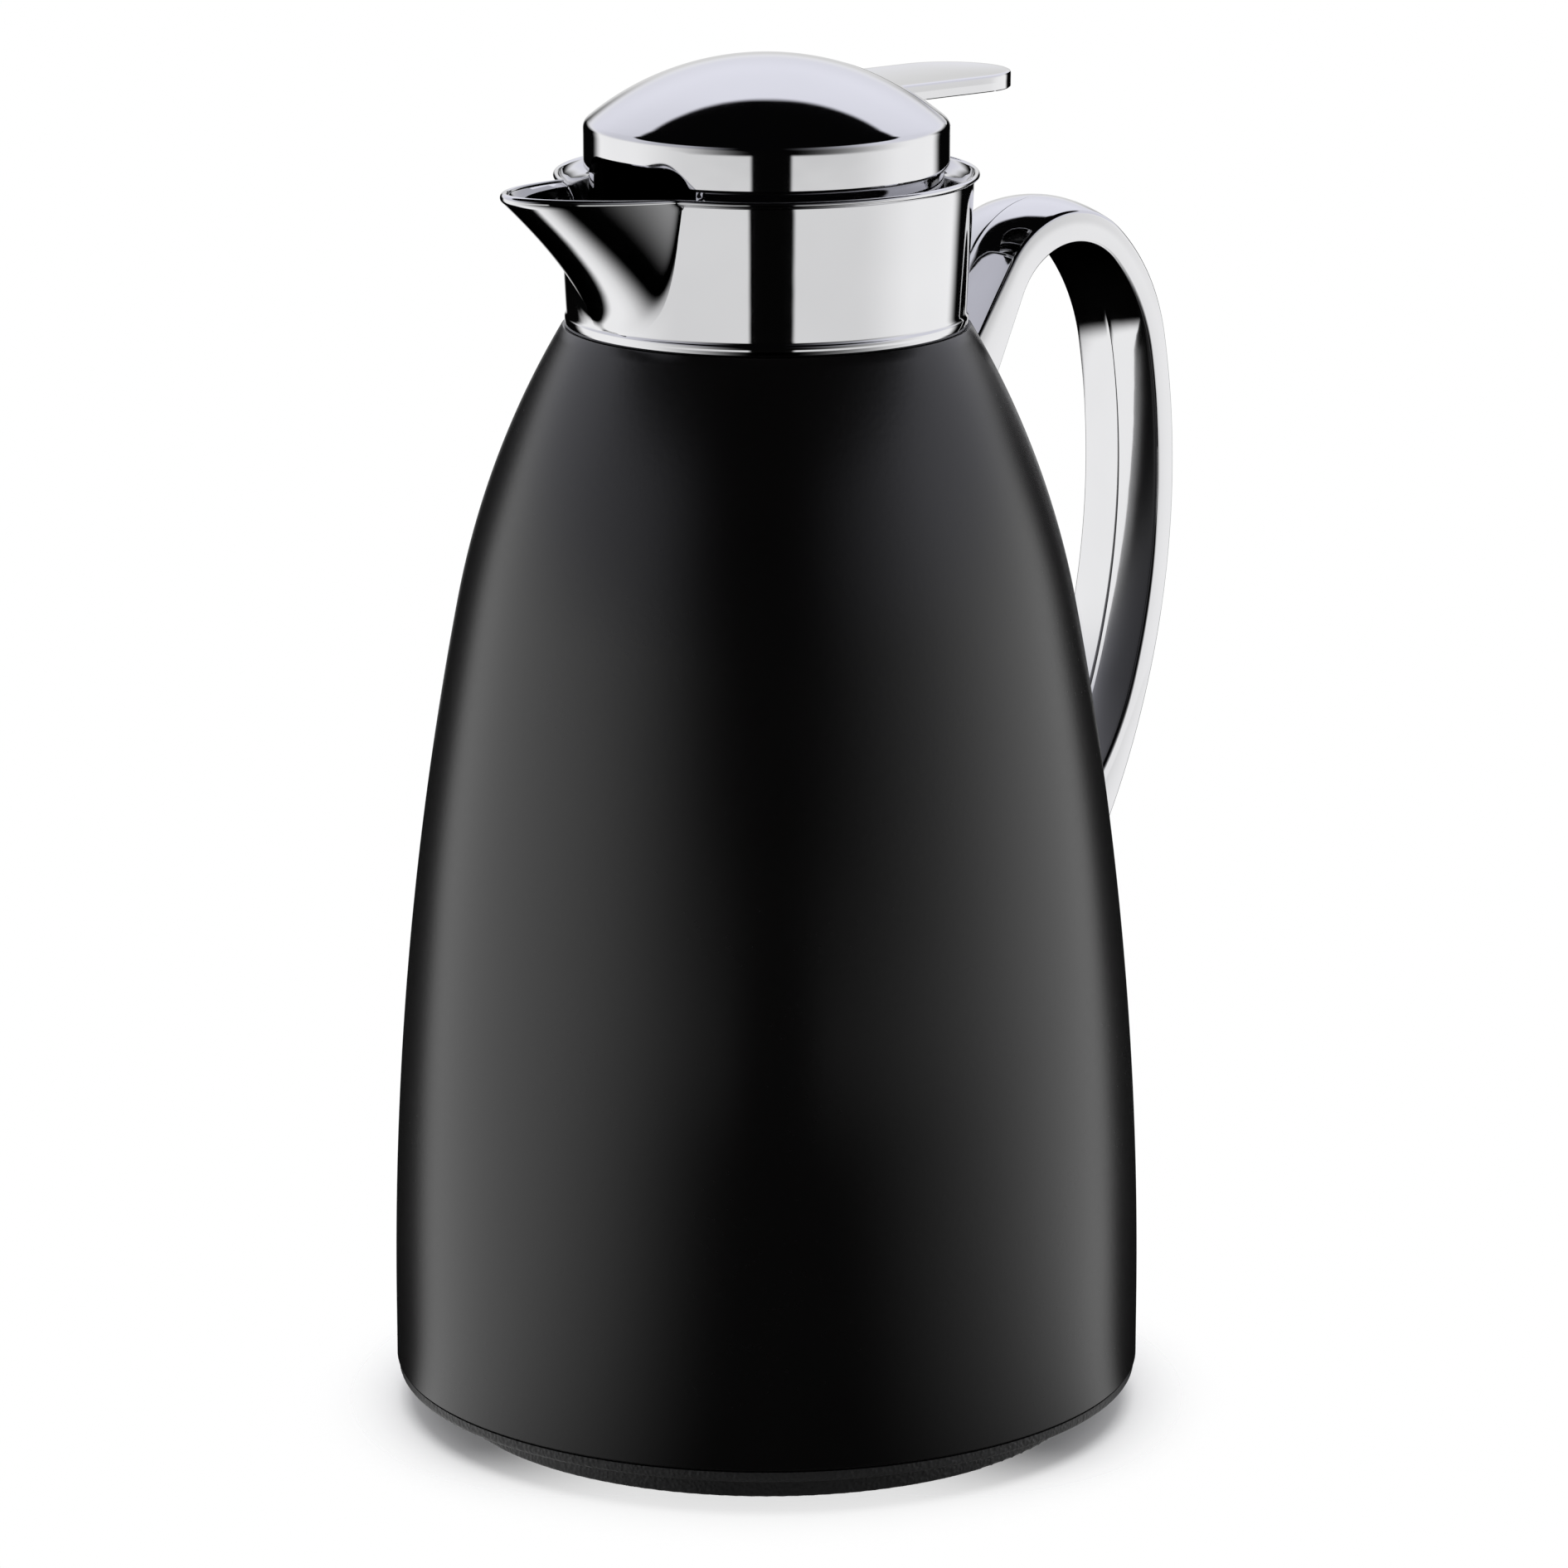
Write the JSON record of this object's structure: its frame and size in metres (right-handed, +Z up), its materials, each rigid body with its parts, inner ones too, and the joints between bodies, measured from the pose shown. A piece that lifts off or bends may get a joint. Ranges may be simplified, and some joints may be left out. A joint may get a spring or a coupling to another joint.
{
  "type": "thermal jug",
  "caption": "Bell-shaped vacuum jug with chromed collar, pouring spout and loop handle; a screw lid carries a thumb lever that lifts the pour valve.",
  "frame": {"origin": "on the jug's axis, at the plane of the standing face of the foot ring", "axes": "+Z up along the jug's axis, +X towards the handle, spout towards -X, XZ is the mirror plane of the outside"},
  "size_m": [0.1697, 0.144, 0.2617],
  "materials": {
    "black_lacquer": "satin lacquer",
    "black_plastic": "fine grain",
    "grey_rubber": "soft matt",
    "silvered_glass": "silvered",
    "chrome": "polished",
    "steel": "drawn"
  },
  "bodies": {
    "jug": {"outer_casing": "black_lacquer", "base_ring": "black_plastic", "foot_ring": "black_plastic", "base_screw_cap": "black_plastic", "flask_cushion": "grey_rubber", "flask_liner": "silvered_glass", "flask_jacket": "silvered_glass", "neck_seal": "grey_rubber", "neck_insert": "black_plastic", "spout_collar": "chrome", "handle_left": "chrome", "handle_right": "chrome", "handle_screws": "steel"},
    "gasket": {"stopper_gasket": "grey_rubber"},
    "lid": {"lid_cap": "chrome", "stopper_body": "black_plastic", "stopper_deck": "black_plastic", "lever_pin": "steel", "valve_spring": "steel"},
    "lever": {"thumb_lever": "chrome"},
    "valve": {"valve_stem": "steel", "stem_head": "black_plastic", "valve_plunger": "black_plastic", "valve_seal": "grey_rubber"}
  },
  "joints": [
    {"name": "lid_lift", "type": "slide", "parent": "jug", "child": "gasket", "axis": [0, 0, 1], "range_m": [0, 0.008]},
    {"name": "lid_turn", "type": "hinge", "parent": "gasket", "child": "lid", "pos_m": [0, 0, 0.226], "axis": [0, 0, 1], "range_deg": [0, 243]},
    {"name": "lever_press", "type": "hinge", "parent": "lid", "child": "lever", "pos_m": [0.026, 0, 0.2482], "axis": [0, 1, 0], "range_deg": [0, 9.3], "stiffness_Nm_per_rad": 0.3, "springref_deg": -8.59},
    {"name": "valve_lift", "type": "slide", "parent": "lid", "child": "valve", "axis": [0, 0, 1], "range_m": [0, 0.00408], "deforming": ["valve_spring"]}
  ],
  "couplings": [
    {"joint": "lid_turn", "follows": "lid_lift", "rad_per_m": 523.6},
    {"joint": "lever_press", "follows": "valve_lift", "rad_per_m": 38.462}
  ]
}
